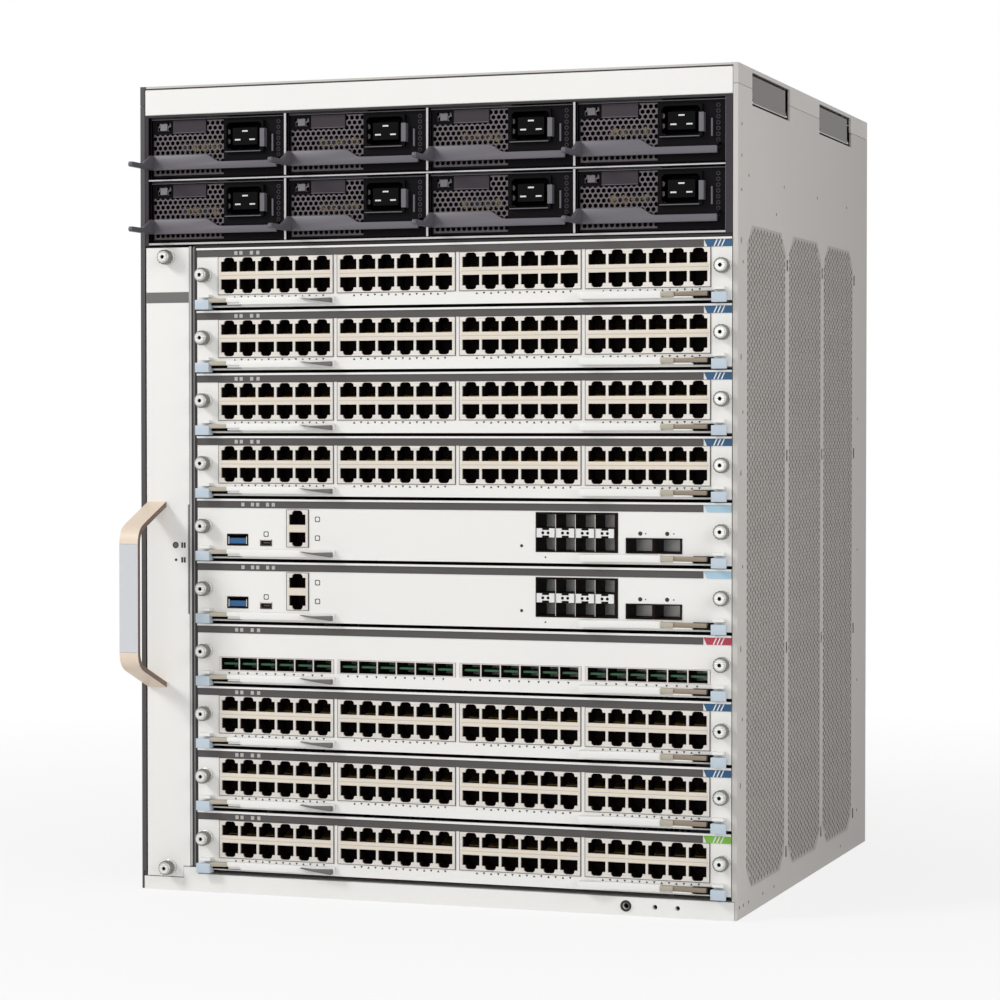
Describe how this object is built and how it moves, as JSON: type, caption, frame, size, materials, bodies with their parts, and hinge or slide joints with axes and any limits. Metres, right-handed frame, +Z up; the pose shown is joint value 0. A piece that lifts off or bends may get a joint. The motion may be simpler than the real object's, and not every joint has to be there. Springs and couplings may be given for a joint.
{
  "type": "modular chassis switch",
  "caption": "Rack-mount modular network switch chassis with pull-out power supplies, a fan tray and horizontal cards, each with swinging levers, and folding side handles.",
  "frame": {"origin": "middle of the base of the whole object, on the surface it stands on", "axes": "+Z up, the front with cards and supplies faces -Y, +X to the right seen from the front"},
  "size_m": [0.44, 0.455, 0.574],
  "materials": {
    "chassis_paint": "fine textured powder coat",
    "bezel_white": "smooth satin white",
    "dark_steel": "satin black",
    "zinc_steel": "plated sheet",
    "supply_black": "satin black",
    "lever_grey": "fine matte",
    "faceplate_white": "smooth satin white",
    "lever_white": "satin",
    "handle_grey": "satin dark grey",
    "board_green": "solder mask"
  },
  "bodies": {
    "chassis": {"left_side_panel": "chassis_paint", "right_side_panel": "chassis_paint", "top_cover": "chassis_paint", "base_pan": "bezel_white", "rear_panel": "chassis_paint", "top_bezel": "bezel_white", "power_bay_frame": "dark_steel", "card_cage": "zinc_steel", "backplane": "board_green"},
    "fan_tray": {"fan_tray": "faceplate_white"},
    "carry_handle_left_front": {"carry_handle_left_front": "handle_grey"},
    "carry_handle_left_rear": {"carry_handle_left_rear": "handle_grey"},
    "carry_handle_right_front": {"carry_handle_right_front": "handle_grey"},
    "carry_handle_right_rear": {"carry_handle_right_rear": "handle_grey"},
    "power_supply_lower_1": {"power_supply_lower_1": "supply_black"},
    "supply_lever_lower_1": {"supply_lever_lower_1": "lever_grey"},
    "power_supply_lower_2": {"power_supply_lower_2": "supply_black"},
    "supply_lever_lower_2": {"supply_lever_lower_2": "lever_grey"},
    "power_supply_lower_3": {"power_supply_lower_3": "supply_black"},
    "supply_lever_lower_3": {"supply_lever_lower_3": "lever_grey"},
    "power_supply_lower_4": {"power_supply_lower_4": "supply_black"},
    "supply_lever_lower_4": {"supply_lever_lower_4": "lever_grey"},
    "power_supply_upper_1": {"power_supply_upper_1": "supply_black"},
    "supply_lever_upper_1": {"supply_lever_upper_1": "lever_grey"},
    "power_supply_upper_2": {"power_supply_upper_2": "supply_black"},
    "supply_lever_upper_2": {"supply_lever_upper_2": "lever_grey"},
    "power_supply_upper_3": {"power_supply_upper_3": "supply_black"},
    "supply_lever_upper_3": {"supply_lever_upper_3": "lever_grey"},
    "power_supply_upper_4": {"power_supply_upper_4": "supply_black"},
    "supply_lever_upper_4": {"supply_lever_upper_4": "lever_grey"},
    "port_card_slot_1": {"port_card_slot_1": "faceplate_white"},
    "card_lever_left_slot_1": {"card_lever_left_slot_1": "lever_white"},
    "card_lever_right_slot_1": {"card_lever_right_slot_1": "lever_white"},
    "port_card_slot_2": {"port_card_slot_2": "faceplate_white"},
    "card_lever_left_slot_2": {"card_lever_left_slot_2": "lever_white"},
    "card_lever_right_slot_2": {"card_lever_right_slot_2": "lever_white"},
    "port_card_slot_3": {"port_card_slot_3": "faceplate_white"},
    "card_lever_left_slot_3": {"card_lever_left_slot_3": "lever_white"},
    "card_lever_right_slot_3": {"card_lever_right_slot_3": "lever_white"},
    "port_card_slot_4": {"port_card_slot_4": "faceplate_white"},
    "card_lever_left_slot_4": {"card_lever_left_slot_4": "lever_white"},
    "card_lever_right_slot_4": {"card_lever_right_slot_4": "lever_white"},
    "supervisor_card_slot_5": {"supervisor_card_slot_5": "faceplate_white"},
    "card_lever_left_slot_5": {"card_lever_left_slot_5": "lever_white"},
    "card_lever_right_slot_5": {"card_lever_right_slot_5": "lever_white"},
    "supervisor_card_slot_6": {"supervisor_card_slot_6": "faceplate_white"},
    "card_lever_left_slot_6": {"card_lever_left_slot_6": "lever_white"},
    "card_lever_right_slot_6": {"card_lever_right_slot_6": "lever_white"},
    "fibre_card_slot_7": {"fibre_card_slot_7": "faceplate_white"},
    "card_lever_left_slot_7": {"card_lever_left_slot_7": "lever_white"},
    "card_lever_right_slot_7": {"card_lever_right_slot_7": "lever_white"},
    "port_card_slot_8": {"port_card_slot_8": "faceplate_white"},
    "card_lever_left_slot_8": {"card_lever_left_slot_8": "lever_white"},
    "card_lever_right_slot_8": {"card_lever_right_slot_8": "lever_white"},
    "port_card_slot_9": {"port_card_slot_9": "faceplate_white"},
    "card_lever_left_slot_9": {"card_lever_left_slot_9": "lever_white"},
    "card_lever_right_slot_9": {"card_lever_right_slot_9": "lever_white"},
    "port_card_slot_10": {"port_card_slot_10": "faceplate_white"},
    "card_lever_left_slot_10": {"card_lever_left_slot_10": "lever_white"},
    "card_lever_right_slot_10": {"card_lever_right_slot_10": "lever_white"}
  },
  "joints": [
    {"name": "fan_tray_slide", "type": "slide", "parent": "chassis", "child": "fan_tray", "axis": [0, -1, 0], "range_m": [0, 0.36]},
    {"name": "carry_handle_left_front_hinge", "type": "hinge", "parent": "chassis", "child": "carry_handle_left_front", "pos_m": [-0.2166, -0.0945, 0.5676], "axis": [0, 1, 0], "range_deg": [0, 90]},
    {"name": "carry_handle_left_rear_hinge", "type": "hinge", "parent": "chassis", "child": "carry_handle_left_rear", "pos_m": [-0.2166, 0.1075, 0.5676], "axis": [0, 1, 0], "range_deg": [0, 90]},
    {"name": "carry_handle_right_front_hinge", "type": "hinge", "parent": "chassis", "child": "carry_handle_right_front", "pos_m": [0.2166, -0.0945, 0.5676], "axis": [0, -1, 0], "range_deg": [0, 90]},
    {"name": "carry_handle_right_rear_hinge", "type": "hinge", "parent": "chassis", "child": "carry_handle_right_rear", "pos_m": [0.2166, 0.1075, 0.5676], "axis": [0, -1, 0], "range_deg": [0, 90]},
    {"name": "power_supply_lower_1_slide", "type": "slide", "parent": "chassis", "child": "power_supply_lower_1", "axis": [0, -1, 0], "range_m": [0, 0.3]},
    {"name": "supply_lever_lower_1_hinge", "type": "hinge", "parent": "power_supply_lower_1", "child": "supply_lever_lower_1", "pos_m": [-0.1164, -0.1805, 0.4712], "axis": [0, 0, 1], "range_deg": [0, 75]},
    {"name": "power_supply_lower_2_slide", "type": "slide", "parent": "chassis", "child": "power_supply_lower_2", "axis": [0, -1, 0], "range_m": [0, 0.3]},
    {"name": "supply_lever_lower_2_hinge", "type": "hinge", "parent": "power_supply_lower_2", "child": "supply_lever_lower_2", "pos_m": [-0.0098, -0.1805, 0.4712], "axis": [0, 0, 1], "range_deg": [0, 75]},
    {"name": "power_supply_lower_3_slide", "type": "slide", "parent": "chassis", "child": "power_supply_lower_3", "axis": [0, -1, 0], "range_m": [0, 0.3]},
    {"name": "supply_lever_lower_3_hinge", "type": "hinge", "parent": "power_supply_lower_3", "child": "supply_lever_lower_3", "pos_m": [0.0968, -0.1805, 0.4712], "axis": [0, 0, 1], "range_deg": [0, 75]},
    {"name": "power_supply_lower_4_slide", "type": "slide", "parent": "chassis", "child": "power_supply_lower_4", "axis": [0, -1, 0], "range_m": [0, 0.3]},
    {"name": "supply_lever_lower_4_hinge", "type": "hinge", "parent": "power_supply_lower_4", "child": "supply_lever_lower_4", "pos_m": [0.2034, -0.1805, 0.4712], "axis": [0, 0, 1], "range_deg": [0, 75]},
    {"name": "power_supply_upper_1_slide", "type": "slide", "parent": "chassis", "child": "power_supply_upper_1", "axis": [0, -1, 0], "range_m": [0, 0.3]},
    {"name": "supply_lever_upper_1_hinge", "type": "hinge", "parent": "power_supply_upper_1", "child": "supply_lever_upper_1", "pos_m": [-0.1164, -0.1805, 0.5168], "axis": [0, 0, 1], "range_deg": [0, 75]},
    {"name": "power_supply_upper_2_slide", "type": "slide", "parent": "chassis", "child": "power_supply_upper_2", "axis": [0, -1, 0], "range_m": [0, 0.3]},
    {"name": "supply_lever_upper_2_hinge", "type": "hinge", "parent": "power_supply_upper_2", "child": "supply_lever_upper_2", "pos_m": [-0.0098, -0.1805, 0.5168], "axis": [0, 0, 1], "range_deg": [0, 75]},
    {"name": "power_supply_upper_3_slide", "type": "slide", "parent": "chassis", "child": "power_supply_upper_3", "axis": [0, -1, 0], "range_m": [0, 0.3]},
    {"name": "supply_lever_upper_3_hinge", "type": "hinge", "parent": "power_supply_upper_3", "child": "supply_lever_upper_3", "pos_m": [0.0968, -0.1805, 0.5168], "axis": [0, 0, 1], "range_deg": [0, 75]},
    {"name": "power_supply_upper_4_slide", "type": "slide", "parent": "chassis", "child": "power_supply_upper_4", "axis": [0, -1, 0], "range_m": [0, 0.3]},
    {"name": "supply_lever_upper_4_hinge", "type": "hinge", "parent": "power_supply_upper_4", "child": "supply_lever_upper_4", "pos_m": [0.2034, -0.1805, 0.5168], "axis": [0, 0, 1], "range_deg": [0, 75]},
    {"name": "port_card_slot_1_slide", "type": "slide", "parent": "chassis", "child": "port_card_slot_1", "axis": [0, -1, 0], "range_m": [0, 0.3]},
    {"name": "card_lever_left_slot_1_hinge", "type": "hinge", "parent": "port_card_slot_1", "child": "card_lever_left_slot_1", "pos_m": [-0.168, -0.1858, 0.4201], "axis": [0, 0, -1], "range_deg": [0, 60]},
    {"name": "card_lever_right_slot_1_hinge", "type": "hinge", "parent": "port_card_slot_1", "child": "card_lever_right_slot_1", "pos_m": [0.2083, -0.1858, 0.4201], "axis": [0, 0, 1], "range_deg": [0, 60]},
    {"name": "port_card_slot_2_slide", "type": "slide", "parent": "chassis", "child": "port_card_slot_2", "axis": [0, -1, 0], "range_m": [0, 0.3]},
    {"name": "card_lever_left_slot_2_hinge", "type": "hinge", "parent": "port_card_slot_2", "child": "card_lever_left_slot_2", "pos_m": [-0.168, -0.1858, 0.37565], "axis": [0, 0, -1], "range_deg": [0, 60]},
    {"name": "card_lever_right_slot_2_hinge", "type": "hinge", "parent": "port_card_slot_2", "child": "card_lever_right_slot_2", "pos_m": [0.2083, -0.1858, 0.37565], "axis": [0, 0, 1], "range_deg": [0, 60]},
    {"name": "port_card_slot_3_slide", "type": "slide", "parent": "chassis", "child": "port_card_slot_3", "axis": [0, -1, 0], "range_m": [0, 0.3]},
    {"name": "card_lever_left_slot_3_hinge", "type": "hinge", "parent": "port_card_slot_3", "child": "card_lever_left_slot_3", "pos_m": [-0.168, -0.1858, 0.3312], "axis": [0, 0, -1], "range_deg": [0, 60]},
    {"name": "card_lever_right_slot_3_hinge", "type": "hinge", "parent": "port_card_slot_3", "child": "card_lever_right_slot_3", "pos_m": [0.2083, -0.1858, 0.3312], "axis": [0, 0, 1], "range_deg": [0, 60]},
    {"name": "port_card_slot_4_slide", "type": "slide", "parent": "chassis", "child": "port_card_slot_4", "axis": [0, -1, 0], "range_m": [0, 0.3]},
    {"name": "card_lever_left_slot_4_hinge", "type": "hinge", "parent": "port_card_slot_4", "child": "card_lever_left_slot_4", "pos_m": [-0.168, -0.1858, 0.28675], "axis": [0, 0, -1], "range_deg": [0, 60]},
    {"name": "card_lever_right_slot_4_hinge", "type": "hinge", "parent": "port_card_slot_4", "child": "card_lever_right_slot_4", "pos_m": [0.2083, -0.1858, 0.28675], "axis": [0, 0, 1], "range_deg": [0, 60]},
    {"name": "supervisor_card_slot_5_slide", "type": "slide", "parent": "chassis", "child": "supervisor_card_slot_5", "axis": [0, -1, 0], "range_m": [0, 0.3]},
    {"name": "card_lever_left_slot_5_hinge", "type": "hinge", "parent": "supervisor_card_slot_5", "child": "card_lever_left_slot_5", "pos_m": [-0.168, -0.1858, 0.2423], "axis": [0, 0, -1], "range_deg": [0, 60]},
    {"name": "card_lever_right_slot_5_hinge", "type": "hinge", "parent": "supervisor_card_slot_5", "child": "card_lever_right_slot_5", "pos_m": [0.2083, -0.1858, 0.2423], "axis": [0, 0, 1], "range_deg": [0, 60]},
    {"name": "supervisor_card_slot_6_slide", "type": "slide", "parent": "chassis", "child": "supervisor_card_slot_6", "axis": [0, -1, 0], "range_m": [0, 0.3]},
    {"name": "card_lever_left_slot_6_hinge", "type": "hinge", "parent": "supervisor_card_slot_6", "child": "card_lever_left_slot_6", "pos_m": [-0.168, -0.1858, 0.19785], "axis": [0, 0, -1], "range_deg": [0, 60]},
    {"name": "card_lever_right_slot_6_hinge", "type": "hinge", "parent": "supervisor_card_slot_6", "child": "card_lever_right_slot_6", "pos_m": [0.2083, -0.1858, 0.19785], "axis": [0, 0, 1], "range_deg": [0, 60]},
    {"name": "fibre_card_slot_7_slide", "type": "slide", "parent": "chassis", "child": "fibre_card_slot_7", "axis": [0, -1, 0], "range_m": [0, 0.3]},
    {"name": "card_lever_left_slot_7_hinge", "type": "hinge", "parent": "fibre_card_slot_7", "child": "card_lever_left_slot_7", "pos_m": [-0.168, -0.1858, 0.1534], "axis": [0, 0, -1], "range_deg": [0, 60]},
    {"name": "card_lever_right_slot_7_hinge", "type": "hinge", "parent": "fibre_card_slot_7", "child": "card_lever_right_slot_7", "pos_m": [0.2083, -0.1858, 0.1534], "axis": [0, 0, 1], "range_deg": [0, 60]},
    {"name": "port_card_slot_8_slide", "type": "slide", "parent": "chassis", "child": "port_card_slot_8", "axis": [0, -1, 0], "range_m": [0, 0.3]},
    {"name": "card_lever_left_slot_8_hinge", "type": "hinge", "parent": "port_card_slot_8", "child": "card_lever_left_slot_8", "pos_m": [-0.168, -0.1858, 0.10895], "axis": [0, 0, -1], "range_deg": [0, 60]},
    {"name": "card_lever_right_slot_8_hinge", "type": "hinge", "parent": "port_card_slot_8", "child": "card_lever_right_slot_8", "pos_m": [0.2083, -0.1858, 0.10895], "axis": [0, 0, 1], "range_deg": [0, 60]},
    {"name": "port_card_slot_9_slide", "type": "slide", "parent": "chassis", "child": "port_card_slot_9", "axis": [0, -1, 0], "range_m": [0, 0.3]},
    {"name": "card_lever_left_slot_9_hinge", "type": "hinge", "parent": "port_card_slot_9", "child": "card_lever_left_slot_9", "pos_m": [-0.168, -0.1858, 0.0645], "axis": [0, 0, -1], "range_deg": [0, 60]},
    {"name": "card_lever_right_slot_9_hinge", "type": "hinge", "parent": "port_card_slot_9", "child": "card_lever_right_slot_9", "pos_m": [0.2083, -0.1858, 0.0645], "axis": [0, 0, 1], "range_deg": [0, 60]},
    {"name": "port_card_slot_10_slide", "type": "slide", "parent": "chassis", "child": "port_card_slot_10", "axis": [0, -1, 0], "range_m": [0, 0.3]},
    {"name": "card_lever_left_slot_10_hinge", "type": "hinge", "parent": "port_card_slot_10", "child": "card_lever_left_slot_10", "pos_m": [-0.168, -0.1858, 0.02005], "axis": [0, 0, -1], "range_deg": [0, 60]},
    {"name": "card_lever_right_slot_10_hinge", "type": "hinge", "parent": "port_card_slot_10", "child": "card_lever_right_slot_10", "pos_m": [0.2083, -0.1858, 0.02005], "axis": [0, 0, 1], "range_deg": [0, 60]}
  ]
}
